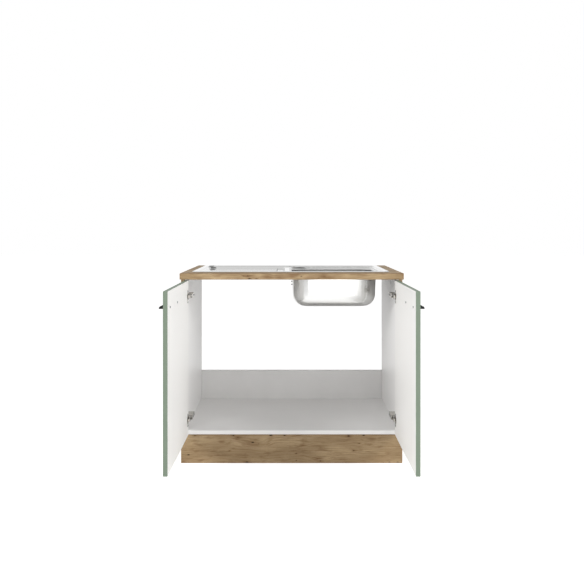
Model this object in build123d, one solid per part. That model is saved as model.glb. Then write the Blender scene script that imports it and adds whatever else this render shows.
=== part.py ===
from build123d import *
import math
import os

# Kitchen sink unit: a two-door base cabinet with a worktop and an inset steel sink.
# Millimetres. X runs across the front, Y = 0 is the wall behind, Z = 0 is the floor,
# and the front of the unit looks along -Y. The doors are drawn open at a right angle.

# ---- overall -------------------------------------------------------------------
unit_width = 1000
unit_depth = 600
unit_height = 860
worktop_thickness = 28
front_overhang = 40
panel_thickness = 18
plinth_height = 130
back_rail_height = 153
edge_ease = 0.8

# ---- doors ---------------------------------------------------------------------
door_thickness = 18
door_reveal = 1.5
door_split = 3
door_gap = 2.5
door_height_gap = 5

# ---- hinges --------------------------------------------------------------------
hinge_inset = 71
hinge_throw = 26
pivot_from_edge = 9.5
cup_radius = 17.5
cup_depth = 11.5
cup_wall = 1.5
cup_edge_distance = 5
cup_flange_thickness = 1.2
cup_flange_border = 1
cup_flange_height = 60
cup_flange_width = 14
cup_screw_spacing = 48
ear_gap = 7
ear_width = 9
pin_depth = 4.5
pin_radius = 1.5
pin_length = 25
link_thickness = 2.5
link_width = 11
link_crank = 12
link_reach = 50
link_bend = 4
link_eye_radius = 3.2
arm_length = 66
arm_setback = 1
arm_width = 19
arm_wall = 1.3
arm_rise = 33.3
arm_foot = 20
plate_thickness = 2
plate_height = 52
plate_width = 13
plate_screw_setback = 37
plate_screw_spacing = 32
pedestal_length = 42
pedestal_start = 20
pedestal_rise = 8
arm_screw_radius = 3.4
arm_screw_height = 1.4
arm_screw_setback = 54
trim_screw_setback = 26

# ---- handles -------------------------------------------------------------------
handle_drop = 65
handle_spacing = 160
handle_from_edge = 50
handle_end = 15
handle_height = 20
handle_projection = 22
handle_lip = 6
handle_wall = 2.2
handle_round = 0.9
handle_screw_below = 5
handle_boss_radius = 4

# ---- sink ----------------------------------------------------------------------
sink_left_margin = 43
sink_right_margin = 52
sink_front_margin = 77
sink_back_margin = 43
sink_corner = 24
sheet = 1
seal_thickness = 1
seal_border = 0.6
rim_rise = 3
rim_edge_round = 1.6
rim_width = 20
recess_depth = 5
recess_corner = 34
recess_floor_radius = 3
recess_draft = 30
cutout_margin = 11
cutout_corner = 14
bowl_width = 397
bowl_length = 357
bowl_from_centre = 2
bowl_front_ledge = 28
bowl_corner = 75
bowl_depth = 166
bowl_floor_radius = 56
bowl_draft = 2
mouth_roll = 14
drain_radius = 45
drain_dish_radius = 57
drain_dish_depth = 3
tap_hole_radius = 17.5
tap_hole_from_bowl = 25
drainer_margin = 16
drainer_to_bowl = 36
drainer_depth = 8
drainer_corner = 40
drainer_floor_radius = 5
rib_count = 9
rib_width = 12
rib_height = 2.4
rib_inset = 36
overflow_drop = 68
overflow_width = 30
overflow_height = 18
overflow_lug = 6
overflow_plate = 1.6
overflow_lug_thickness = 3.2
overflow_border = 6
overflow_hole_radius = 4.5
overflow_hole_pitch = 12.6

# ---- fixings -------------------------------------------------------------------
fit = 0.1
running_fit = 0.05
slide_fit = 0.3
small_screw = (3.6, 1.4, 1.7, 12)
plate_screw = (3.8, 1.6, 2.2, 13)
handle_screw = (4.2, 2.0, 2.0, 26)
carcass_screw = (4.8, 3.0, 3.0, 47)
bracket_screw = (3.8, 1.5, 1.9, 12)
clip_screw = (4.0, 1.4, 2.0)
bracket_leg = 20
bracket_length = 36
bracket_thickness = 2
bracket_end = 90
bracket_screw_setback = 12
dowel_radius = 4
dowel_length = 30
dowel_end = 80
corner_block_leg = 40
clip_width = 20
clip_thickness = 1.5
clip_tab = 8
clip_drop = 4
clip_foot = 24
clip_lift = 0.3
clip_end = 165

# ---- places worked out from the sizes above ------------------------------------
half_width = unit_width / 2
carcass_depth = unit_depth - front_overhang
carcass_top = unit_height - worktop_thickness
inner_half = half_width - panel_thickness
carcass_front = -carcass_depth
floor_top = plinth_height + panel_thickness

door_width = half_width - door_reveal - door_split / 2
door_bottom = plinth_height + door_height_gap
door_top = carcass_top - door_height_gap
pivot_x = -(half_width - door_reveal - pivot_from_edge)
pivot_y = carcass_front - door_gap - hinge_throw
door_face_x = pivot_x + hinge_throw
door_hinge_y = pivot_y + pivot_from_edge
door_free_y = door_hinge_y - door_width
cup_y = door_hinge_y - cup_edge_distance - cup_radius
pin_x = door_face_x - pin_depth
hinge_levels = {"upper": door_top - hinge_inset, "lower": door_bottom + hinge_inset}

handle_top = door_top - handle_drop + handle_height - handle_screw_below
handle_screw_z = door_top - handle_drop
handle_holes_y = [door_free_y + handle_from_edge, door_free_y + handle_from_edge + handle_spacing]
handle_start_y = handle_holes_y[0] - handle_end
handle_length = handle_spacing + 2 * handle_end

sink_width = unit_width - sink_left_margin - sink_right_margin
sink_x = (sink_left_margin - sink_right_margin) / 2
sink_depth = unit_depth - sink_front_margin - sink_back_margin
sink_y = -(sink_back_margin + sink_depth / 2)
rim_top = unit_height + rim_rise
rim_seat = unit_height + seal_thickness
recess_floor = rim_top - recess_depth
recess_half = sink_width / 2 - rim_width
recess_front = sink_y - sink_depth / 2 + rim_width
recess_back = sink_y + sink_depth / 2 - rim_width
bowl_x = bowl_from_centre + bowl_width / 2
bowl_y = recess_front + bowl_front_ledge + bowl_length / 2
bowl_top = recess_floor - sheet
mouth_reach = mouth_roll / math.tan(math.radians(90 + bowl_draft) / 2)
bowl_floor = recess_floor - bowl_depth
tap_y = bowl_y + bowl_length / 2 + tap_hole_from_bowl
drainer_left = sink_x - recess_half + drainer_margin
drainer_right = bowl_from_centre - drainer_to_bowl
drainer_floor = recess_floor - drainer_depth
overflow_z = unit_height - overflow_drop

ON_TOP = (Align.CENTER, Align.CENTER, Align.MIN)
BELOW = (Align.CENTER, Align.CENTER, Align.MAX)
INWARD_LEFT = (1, 0, 0)


def block(x_span, y_span, z_span):
    """A square-cornered block between three pairs of planes."""
    size = [abs(high - low) for low, high in (x_span, y_span, z_span)]
    centre = [(low + high) / 2 for low, high in (x_span, y_span, z_span)]
    return Pos(*centre) * Box(*size)


def board(x_span, y_span, z_span):
    """A board whose long edges are lightly eased, as edge banding is."""
    return chamfer(block(x_span, y_span, z_span).edges(), edge_ease)


def rod(point, direction, radius, length):
    """A cylinder that starts at a point and runs along a direction."""
    return Plane(origin=point, z_dir=direction) * Cylinder(radius, length, align=ON_TOP)


def screw(point, direction, size):
    """A screw whose head stands on the point and whose shank runs along the direction."""
    head_radius, head_height, shank_radius, shank_length = size
    head = Plane(origin=point, z_dir=direction) * Cylinder(head_radius, head_height, align=BELOW)
    return head + rod(point, direction, shank_radius, shank_length)


def screw_hole(point, direction, size):
    """The hole that a screw's shank fills, with its fit."""
    return rod(point, direction, size[2] + fit, size[3] + fit)


def flush_screw(point, direction, size):
    """A screw whose head is let in flush with the face that the point lies on."""
    head_radius, head_height, shank_radius, shank_length = size
    head = rod(point, direction, head_radius, head_height)
    return head + rod(point, direction, shank_radius, shank_length)


def flush_screw_hole(point, direction, size):
    """The stepped hole of a flush screw, with its fit."""
    head_radius, head_height, shank_radius, shank_length = size
    head = rod(point, direction, head_radius + fit, head_height)
    return head + rod(point, direction, shank_radius + fit, shank_length + fit)


def plan_block(centre_x, centre_y, width, depth, corner, z_low, z_high):
    """A block with rounded upright corners between two heights."""
    plan = Pos(centre_x, centre_y, z_low) * RectangleRounded(width, depth, corner)
    return extrude(plan, amount=z_high - z_low)


def basin_form(centre, size, corner, top, depth, draft, floor_radius):
    """The space of a pressed basin: walls lean in by the draft, the floor edge is round."""
    plan = Pos(centre[0], centre[1], top) * RectangleRounded(size[0], size[1], corner)
    form = extrude(plan, amount=-depth, taper=draft)
    floor_edges = form.edges().filter_by_position(Axis.Z, top - depth - fit, top - depth + fit)
    return fillet(floor_edges, floor_radius)


def right_hand(shape):
    """The same piece on the right-hand side of the unit."""
    return mirror(shape, about=Plane.YZ)


# ---- cabinet -------------------------------------------------------------------
def dowel_places():
    """Dowels stand in the joint between the plinth frame and the carcass."""
    side_x = half_width - panel_thickness / 2
    front_y = carcass_front + panel_thickness / 2
    ends = (carcass_front + dowel_end, -dowel_end)
    places = [(side * side_x, y) for side in (-1, 1) for y in ends]
    places += [(side * (inner_half - dowel_end), front_y) for side in (-1, 1)]
    return places


def make_dowels(radius, length):
    return [Pos(x, y, plinth_height) * Cylinder(radius, length) for x, y in dowel_places()]


def dowel_holes():
    return make_dowels(dowel_radius + fit, dowel_length + fit)


def carcass_screw_places():
    """Left-hand screws through the side into the bottom panel and the back rail."""
    floor_z = plinth_height + panel_thickness / 2
    rail_y = -panel_thickness / 2
    rows = [carcass_front + dowel_end / 2, carcass_front / 2, -2 * dowel_end]
    places = [(-half_width, y, floor_z) for y in rows]
    quarter = back_rail_height / 4
    return places + [(-half_width, rail_y, floor_top + n * quarter) for n in (1, 3)]


def carcass_screw_holes():
    left = [flush_screw_hole(place, INWARD_LEFT, carcass_screw) for place in carcass_screw_places()]
    return left + [right_hand(hole) for hole in left]


def make_carcass_screws():
    left = [flush_screw(place, INWARD_LEFT, carcass_screw) for place in carcass_screw_places()]
    return Compound(left + [right_hand(one) for one in left])


def bracket_rows():
    return (carcass_front + bracket_end, -bracket_end)


def bracket_screw_places():
    """Each left-hand bracket has one screw into the side and one into the worktop."""
    side = [(-inner_half + bracket_thickness, y, carcass_top - bracket_screw_setback)
            for y in bracket_rows()]
    top = [(-inner_half + bracket_screw_setback, y, carcass_top - bracket_thickness)
           for y in bracket_rows()]
    return [(place, (-1, 0, 0)) for place in side] + [(place, (0, 0, 1)) for place in top]


def bracket_screw_holes():
    left = [screw_hole(place, way, bracket_screw) for place, way in bracket_screw_places()]
    return left + [right_hand(hole) for hole in left]


def make_bracket_screws():
    left = [screw(place, way, bracket_screw) for place, way in bracket_screw_places()]
    return Compound(left + [right_hand(one) for one in left])


def make_worktop_brackets():
    """Steel angles that hold the worktop down on the sides."""
    angles = []
    for y in bracket_rows():
        span = (y - bracket_length / 2, y + bracket_length / 2)
        upright = block((-inner_half, -inner_half + bracket_thickness), span,
                        (carcass_top - bracket_leg, carcass_top))
        shelf = block((-inner_half, -inner_half + bracket_leg), span,
                      (carcass_top - bracket_thickness, carcass_top))
        angle = upright + shelf
        for hole in bracket_screw_holes():
            angle = angle - hole
        angles += [angle, right_hand(angle)]
    return Compound(angles)


def make_worktop():
    top = board((-half_width, half_width), (-unit_depth, 0), (carcass_top, unit_height))
    cutout = plan_block(sink_x, sink_y, sink_width - 2 * cutout_margin, sink_depth - 2 * cutout_margin,
                        cutout_corner, carcass_top - fit, unit_height + fit)
    top = top - cutout
    for hole in bracket_screw_holes():
        top = top - hole
    return top


def plate_screw_places():
    """Two screws fix each left-hand hinge plate to the side panel."""
    y = carcass_front + plate_screw_setback
    x = -inner_half + plate_thickness
    return [(x, y, level + side * plate_screw_spacing / 2)
            for level in hinge_levels.values() for side in (-1, 1)]


def make_side_panel():
    panel = board((-half_width, -inner_half), (carcass_front, 0), (plinth_height, carcass_top))
    holes = dowel_holes() + carcass_screw_holes() + bracket_screw_holes()
    holes += [screw_hole(place, (-1, 0, 0), plate_screw) for place in plate_screw_places()]
    for hole in holes:
        panel = panel - hole
    return panel


def make_bottom_panel():
    panel = board((-inner_half, inner_half), (carcass_front, 0), (plinth_height, floor_top))
    for hole in dowel_holes() + carcass_screw_holes():
        panel = panel - hole
    return panel


def make_back_rail():
    rail = board((-inner_half, inner_half), (-panel_thickness, 0),
                 (floor_top, floor_top + back_rail_height))
    for hole in carcass_screw_holes():
        rail = rail - hole
    return rail


def make_plinth_front():
    plinth = board((-half_width, half_width), (carcass_front, carcass_front + panel_thickness),
                   (0, plinth_height))
    for hole in dowel_holes():
        plinth = plinth - hole
    return plinth


def make_plinth_side():
    plinth = block((-half_width, -inner_half), (carcass_front + panel_thickness, 0),
                   (0, plinth_height))
    for hole in dowel_holes():
        plinth = plinth - hole
    return plinth


def make_plinth_rear():
    return block((-inner_half, inner_half), (-panel_thickness, 0), (0, plinth_height))


def make_corner_blocks():
    """Three-cornered blocks that hold the plinth frame square."""
    blocks = []
    for corner_y, way in ((carcass_front + panel_thickness, 1), (-panel_thickness, -1)):
        plan = Polygon((-inner_half, corner_y), (-inner_half + corner_block_leg, corner_y),
                       (-inner_half, corner_y + way * corner_block_leg), align=None)
        wedge = extrude(plan, amount=plinth_height, dir=(0, 0, 1))
        blocks += [wedge, right_hand(wedge)]
    return Compound(blocks)


# ---- sink ----------------------------------------------------------------------
def rim_cap(inset):
    """The rim's outer form, drawn in by the sheet for its hollow underside."""
    cap = plan_block(sink_x, sink_y, sink_width - 2 * inset, sink_depth - 2 * inset,
                     sink_corner - inset, rim_seat, rim_top - inset)
    top_edges = cap.edges().filter_by_position(Axis.Z, rim_top - inset - fit, rim_top)
    return fillet(top_edges, rim_edge_round - inset)


def recess_form(grow):
    """The shallow recess inside the rim, grown by the sheet for its outside."""
    size = (2 * (recess_half + grow), recess_back - recess_front + 2 * grow)
    plan = Pos(sink_x, sink_y, recess_floor - grow) * RectangleRounded(
        size[0] - 2 * recess_depth, size[1] - 2 * recess_depth, recess_corner)
    form = extrude(plan, amount=recess_depth + grow, taper=-recess_draft)
    floor_edges = form.faces().sort_by(Axis.Z)[0].edges()
    return fillet(floor_edges, recess_floor_radius + grow)


def drainer_form(grow):
    """The draining pan, pressed deeper than the recess beside the bowl."""
    centre = ((drainer_left + drainer_right) / 2, bowl_y)
    size = (drainer_right - drainer_left + 2 * grow, bowl_length + 2 * grow)
    return basin_form(centre, size, drainer_corner + grow, recess_floor, drainer_depth + grow,
                      recess_draft, drainer_floor_radius)


def rib_rows():
    pitch = (bowl_length - 2 * rib_inset) / (rib_count - 1)
    first = bowl_y - bowl_length / 2 + rib_inset
    return [first + n * pitch for n in range(rib_count)]


def rib_form(y, base, shrink):
    """One pressed rib: a low round-backed ridge along the draining pan."""
    length = drainer_right - drainer_left - 2 * rib_inset
    centre_x = (drainer_left + drainer_right) / 2
    plan = Pos(centre_x, y, base) * SlotOverall(length - 2 * shrink, rib_width - 2 * shrink)
    return extrude(plan, amount=rib_height, taper=recess_draft)


def overflow_hole():
    wall_x = bowl_x - bowl_width / 2
    return block((wall_x - overflow_width, wall_x + overflow_width),
                 (bowl_y - overflow_width / 2, bowl_y + overflow_width / 2),
                 (overflow_z - overflow_height / 2, overflow_z + overflow_height / 2))


def make_sink_deck():
    """The pressed top of the sink: raised rim, recess, draining pan, tap hole."""
    deck = rim_cap(0) - rim_cap(sheet) + recess_form(sheet) - recess_form(0)
    deck = deck + (drainer_form(sheet) - drainer_form(0))
    deck = deck - drainer_form(0)
    for y in rib_rows():
        deck = deck + rib_form(y, drainer_floor, 0)
        deck = deck - rib_form(y, drainer_floor - sheet, sheet)
    tap_hole = rod((bowl_from_centre, tap_y, bowl_top - fit), (0, 0, 1), tap_hole_radius, rim_rise)
    return deck - mouth_prism() - tap_hole


def mouth_prism():
    """The straight-sided opening in the deck, where the bowl's rolled mouth is welded in."""
    return plan_block(bowl_x, bowl_y, bowl_width + 2 * mouth_reach, bowl_length + 2 * mouth_reach,
                      bowl_corner + mouth_reach, bowl_floor, rim_top)


def mouth_form(grow):
    """The space of the bowl's mouth, rolled over from the upright wall to the flat deck."""
    top = recess_floor - grow
    depth = 2 * mouth_roll
    slab = plan_block(bowl_x, bowl_y, bowl_width + 2 * depth, bowl_length + 2 * depth,
                      bowl_corner + depth, top - depth, top)
    plan = Pos(bowl_x, bowl_y, recess_floor) * RectangleRounded(
        bowl_width + 2 * grow, bowl_length + 2 * grow, bowl_corner + grow)
    ring = slab - extrude(plan, amount=-(2 * depth), taper=bowl_draft)
    mouth_edge = ring.faces().sort_by(Axis.Z)[-1].inner_wires()[0].edges()
    return slab - fillet(mouth_edge, mouth_roll - grow)


def bowl_form(grow):
    """The bowl's inside, or with the sheet added its outside."""
    return basin_form((bowl_x, bowl_y), (bowl_width + 2 * grow, bowl_length + 2 * grow),
                      bowl_corner + grow, recess_floor, bowl_depth + grow, bowl_draft,
                      bowl_floor_radius + grow)


def make_sink_bowl():
    """The deep-drawn bowl, welded into the deck's opening."""
    dish_top = (bowl_x, bowl_y, bowl_floor)
    dish_outside = rod(dish_top, (0, 0, -1), drain_dish_radius + sheet, drain_dish_depth + sheet)
    dish_inside = rod((bowl_x, bowl_y, bowl_floor + sheet), (0, 0, -1), drain_dish_radius,
                      drain_dish_depth + sheet)
    drain = rod(dish_top, (0, 0, -1), drain_radius, bowl_depth)
    shell = (mouth_form(sheet) & mouth_prism()) + bowl_form(sheet) + dish_outside
    return shell - mouth_form(0) - bowl_form(0) - dish_inside - drain - overflow_hole()


def make_overflow_cover():
    """A plate inside the bowl with two lugs that grip through the overflow hole."""
    wall_x = bowl_x - bowl_width / 2 + (recess_floor - overflow_z) * bowl_lean()
    reach = (overflow_height / 2 + overflow_border) * bowl_lean() + fit
    plate = block((wall_x + reach, wall_x + reach + overflow_plate),
                  (bowl_y - overflow_width / 2 - overflow_border,
                   bowl_y + overflow_width / 2 + overflow_border),
                  (overflow_z - overflow_height / 2 - overflow_border,
                   overflow_z + overflow_height / 2 + overflow_border))
    for n in (-1, 0, 1):
        plate = plate - rod((wall_x, bowl_y + n * overflow_hole_pitch, overflow_z), (1, 0, 0),
                            overflow_hole_radius, overflow_width)
    for side in (-1, 1):
        lug_z = overflow_z + side * (overflow_height / 2 - overflow_lug_thickness / 2 - fit)
        lug = block((wall_x - sheet - overflow_lug, wall_x + reach + fit),
                    (bowl_y - overflow_width / 2 + fit, bowl_y + overflow_width / 2 - fit),
                    (lug_z - overflow_lug_thickness / 2, lug_z + overflow_lug_thickness / 2))
        plate = plate + lug
    return plate


def bowl_lean():
    """How far the bowl's wall leans in for each millimetre of height."""
    return math.tan(math.radians(bowl_draft))


def make_sink_seal():
    """The foam strip between the sink's rim and the worktop."""
    width = sink_width - 2 * seal_border
    depth = sink_depth - 2 * seal_border
    ring = plan_block(sink_x, sink_y, width, depth, sink_corner - seal_border, unit_height, rim_seat)
    inside = plan_block(sink_x, sink_y, sink_width - 2 * cutout_margin, sink_depth - 2 * cutout_margin,
                        cutout_corner, unit_height - fit, rim_seat + fit)
    return ring - inside


def clip_frames():
    """Where each clip sits on the edge of the recess, with its outward way."""
    reach = recess_half - clip_end
    rows = (sink_x - reach, sink_x, sink_x + reach)
    front = [(x, recess_front, -90) for x in rows]
    back = [(x, recess_back, 90) for x in rows]
    sides = [(sink_x - recess_half, sink_y, 180), (sink_x + recess_half, sink_y, 0)]
    return [Pos(x, y, 0) * Rot(0, 0, turn) for x, y, turn in front + back + sides]


def clip_levels():
    tab_top = bowl_top
    foot_top = carcass_top - clip_drop
    return tab_top, foot_top


def make_clip():
    """A bent strip: a tab under the recess, a leg down, and a foot under the worktop."""
    tab_top, foot_top = clip_levels()
    edge = -recess_depth
    width = (-clip_width / 2, clip_width / 2)
    tab = block((edge - clip_tab, edge), width, (tab_top - clip_thickness, tab_top))
    leg = block((edge - clip_thickness, edge), width, (foot_top - clip_thickness, tab_top))
    foot = block((edge - clip_thickness, edge + clip_foot), width,
                 (foot_top - clip_thickness, foot_top))
    return tab + leg + foot


def clip_screw_place():
    foot_top = clip_levels()[1]
    return (cutout_margin, 0, foot_top - clip_thickness)


def clip_screw_size():
    """The clip's screw ends just under the worktop."""
    return clip_screw + (clip_drop + clip_thickness - clip_lift,)


def make_sink_clips():
    hole = screw_hole(clip_screw_place(), (0, 0, 1), clip_screw_size())
    return Compound([frame * (make_clip() - hole) for frame in clip_frames()])


def make_clip_screws():
    one = screw(clip_screw_place(), (0, 0, 1), clip_screw_size())
    return Compound([frame * one for frame in clip_frames()])


# ---- doors and handles ---------------------------------------------------------
def cup_screw_places():
    return [(door_face_x + cup_flange_thickness, cup_y, level + side * cup_screw_spacing / 2)
            for level in hinge_levels.values() for side in (-1, 1)]


def make_door():
    """The left-hand door, open, with its cup holes and handle holes."""
    door = board((door_face_x - door_thickness, door_face_x), (door_free_y, door_hinge_y),
                 (door_bottom, door_top))
    for level in hinge_levels.values():
        door = door - rod((door_face_x, cup_y, level), (-1, 0, 0), cup_radius + fit, cup_depth + fit)
    for place in cup_screw_places():
        door = door - screw_hole(place, (-1, 0, 0), small_screw)
    for y in handle_holes_y:
        door = door - screw_hole((door_face_x, y, handle_screw_z), (-1, 0, 0), handle_screw)
    return door


def make_cup_screws():
    return Compound([screw(place, (-1, 0, 0), small_screw) for place in cup_screw_places()])


def handle_section(inset):
    """The wedge section: a sloping top, an upright lip and a flat underside."""
    back = door_face_x - door_thickness
    front = back - handle_projection + inset
    low = handle_top - handle_height
    slope_drop = (handle_height - handle_lip) * (handle_projection - inset) / handle_projection
    corners = [(back, low), (back, handle_top - inset), (front, handle_top - inset - slope_drop),
               (front, low)]
    start = handle_start_y + inset
    section = Plane.XZ * Polygon(*corners, align=None)
    return Pos(0, start, 0) * extrude(section, amount=handle_length - 2 * inset, dir=(0, 1, 0))


def make_handle():
    """A wedge-shaped pull, hollow below for the fingers, with a boss for each screw."""
    back = door_face_x - door_thickness
    outside = handle_section(0)
    lip_edges = outside.edges().filter_by(Axis.Y).sort_by(Axis.X)[:2]
    pull = fillet(lip_edges, handle_round) - handle_section(handle_wall)
    boss_length = handle_projection - handle_wall / 2
    for y in handle_holes_y:
        pull = pull + rod((back, y, handle_screw_z), (-1, 0, 0), handle_boss_radius, boss_length)
        pull = pull - screw_hole((door_face_x, y, handle_screw_z), (-1, 0, 0), handle_screw)
    return pull


def make_handle_screws():
    return Compound([screw((door_face_x, y, handle_screw_z), (-1, 0, 0), handle_screw)
                     for y in handle_holes_y])


# ---- hinges --------------------------------------------------------------------
def make_hinge_cup(level):
    """The cup let into the door, its screwed flange and the two ears for the pin."""
    mouth = (door_face_x, cup_y, level)
    cup = rod(mouth, (-1, 0, 0), cup_radius, cup_depth)
    flange_face = Plane(origin=mouth, x_dir=(0, 0, 1), z_dir=(1, 0, 0))
    wings = flange_face * SlotOverall(cup_flange_height, cup_flange_width)
    flange = extrude(wings, amount=cup_flange_thickness)
    flange = flange + rod(mouth, (1, 0, 0), cup_radius + cup_flange_border, cup_flange_thickness)
    hollow = rod((door_face_x + cup_flange_thickness, cup_y, level), (-1, 0, 0),
                 cup_radius - cup_wall, cup_depth + cup_flange_thickness - cup_wall)
    cup = cup + flange - hollow
    for side in (-1, 1):
        ear = block((door_face_x - cup_depth + cup_wall / 2, door_face_x),
                    (cup_y - ear_width / 2, cup_y + ear_width / 2),
                    sorted((level + side * ear_gap, level + side * (cup_radius - cup_wall / 2))))
        cup = cup + ear
    cup = cup - pin_bore(level, pin_radius + running_fit)
    for place in cup_screw_places():
        cup = cup - screw_hole(place, (-1, 0, 0), small_screw)
    return cup


def pin_bore(level, radius):
    return Pos(pin_x, cup_y, level) * Cylinder(radius, pin_length + fit)


def make_hinge_pin(level):
    return Pos(pin_x, cup_y, level) * Cylinder(pin_radius, pin_length)


def make_hinge_link(level):
    """The gooseneck: an eye on the pin, a crank out of the cup and a bar into the arm."""
    path = FilletPolyline((0, 0), (link_crank, 0), (link_crank, link_reach), radius=link_bend)
    neck = extrude(trace(path, link_thickness), amount=link_width / 2, both=True)
    eye = Cylinder(link_eye_radius, link_width)
    bar_width = arm_width - 2 * (arm_wall + slide_fit)
    bar = block((link_crank - link_thickness / 2, link_crank + link_thickness / 2),
                (link_bend, link_reach), (-bar_width / 2, bar_width / 2))
    bar = fillet(bar.edges().filter_by(Axis.X), link_bend / 2)
    link = Pos(pin_x, cup_y, level) * (neck + eye + bar)
    return link - pin_bore(level, pin_radius + running_fit)


def make_hinge_arm(level):
    """A channel of bent sheet that stands on the mounting plate and houses the bar."""
    y_span = (carcass_front + arm_setback, carcass_front + arm_setback + arm_length)
    foot_x = -inner_half + plate_thickness
    web_x = -inner_half + arm_rise
    body = block((foot_x, web_x), y_span, (level - arm_width / 2, level + arm_width / 2))
    round_edges = body.edges().filter_by(Axis.Y).sort_by(Axis.X)[-2:]
    body = fillet(round_edges, arm_wall)
    hollow = block((foot_x - fit, web_x - arm_wall), (y_span[0] - fit, y_span[1] + fit),
                   (level - arm_width / 2 + arm_wall, level + arm_width / 2 - arm_wall))
    hole = rod(arm_screw_place(level), (-1, 0, 0), arm_screw_radius / 2 + fit, arm_rise)
    return body - hollow - shoulder_trim(level, y_span) - hole


def shoulder_trim(level, y_span):
    """The channel's lower front corner is cut back, clear of the side panel's edge."""
    foot_x = -inner_half + plate_thickness
    cut = Plane.XY * Polygon((foot_x - fit, y_span[0] - fit), (foot_x + arm_foot / 2, y_span[0] - fit),
                             (foot_x - fit, y_span[0] + arm_foot), align=None)
    return Pos(0, 0, level) * extrude(cut, amount=arm_width, both=True)


def arm_screw_place(level):
    return (-inner_half + arm_rise, carcass_front + arm_screw_setback, level)


def make_arm_screws():
    """A clamping screw through each arm into its plate, and an adjusting screw's head."""
    screws = []
    for level in hinge_levels.values():
        reach = arm_rise - pedestal_rise + pedestal_rise / 2
        clamp = (arm_screw_radius, arm_screw_height, arm_screw_radius / 2, reach)
        screws.append(screw(arm_screw_place(level), (-1, 0, 0), clamp))
        trim_seat = (-inner_half + arm_rise, carcass_front + trim_screw_setback, level)
        screws.append(rod(trim_seat, (1, 0, 0), arm_screw_radius, arm_screw_height))
    return Compound(screws + [right_hand(one) for one in screws])


def make_hinge_plate(level):
    """The mounting plate: two screwed wings and a pedestal inside the arm's channel."""
    face = Plane(origin=(-inner_half, carcass_front + plate_screw_setback, level),
                 x_dir=(0, 0, 1), z_dir=(1, 0, 0))
    wings = extrude(face * SlotOverall(plate_height, plate_width), amount=plate_thickness)
    start = carcass_front + pedestal_start
    half = arm_width / 2 - arm_wall - fit
    base = block((-inner_half, -inner_half + plate_thickness), (start, start + pedestal_length),
                 (level - arm_width / 2, level + arm_width / 2))
    pedestal = block((-inner_half, -inner_half + pedestal_rise), (start, start + pedestal_length),
                     (level - half, level + half))
    plate = wings + base + pedestal
    plate = plate - rod(arm_screw_place(level), (-1, 0, 0), arm_screw_radius / 2 + fit,
                        arm_rise - pedestal_rise / 2 + fit)
    for place in plate_screw_places():
        plate = plate - screw_hole(place, (-1, 0, 0), plate_screw)
    return plate


def make_plate_screws():
    left = [screw(place, (-1, 0, 0), plate_screw) for place in plate_screw_places()]
    return Compound(left + [right_hand(one) for one in left])


# ---- the whole unit ------------------------------------------------------------
def both_sides(name, shape):
    return {"left_" + name: shape, "right_" + name: right_hand(shape)}


def unit_nodes():
    nodes = {
        "worktop": make_worktop(),
        "bottom_panel": make_bottom_panel(),
        "back_rail": make_back_rail(),
        "plinth_front": make_plinth_front(),
        "plinth_rear": make_plinth_rear(),
        "plinth_corner_blocks": make_corner_blocks(),
        "plinth_dowels": Compound(make_dowels(dowel_radius, dowel_length)),
        "carcass_screws": make_carcass_screws(),
        "worktop_brackets": make_worktop_brackets(),
        "bracket_screws": make_bracket_screws(),
        "sink_deck": make_sink_deck(),
        "sink_bowl": make_sink_bowl(),
        "overflow_cover": make_overflow_cover(),
        "sink_seal": make_sink_seal(),
        "sink_clips": make_sink_clips(),
        "clip_screws": make_clip_screws(),
        "hinge_plate_screws": make_plate_screws(),
        "hinge_arm_screws": make_arm_screws(),
    }
    nodes.update(both_sides("side_panel", make_side_panel()))
    nodes.update(both_sides("plinth_side", make_plinth_side()))
    nodes.update(both_sides("door", make_door()))
    nodes.update(both_sides("handle", make_handle()))
    nodes.update(both_sides("handle_screws", make_handle_screws()))
    nodes.update(both_sides("cup_screws", make_cup_screws()))
    for place, level in hinge_levels.items():
        nodes.update(both_sides(place + "_hinge_cup", make_hinge_cup(level)))
        nodes.update(both_sides(place + "_hinge_pin", make_hinge_pin(level)))
        nodes.update(both_sides(place + "_hinge_link", make_hinge_link(level)))
        nodes.update(both_sides(place + "_hinge_arm", make_hinge_arm(level)))
        nodes.update(both_sides(place + "_hinge_plate", make_hinge_plate(level)))
    return nodes


os.makedirs("parts", exist_ok=True)
for node_name, node_shape in unit_nodes().items():
    export_step(node_shape, "parts/" + node_name + ".step")
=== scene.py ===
import math

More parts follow.
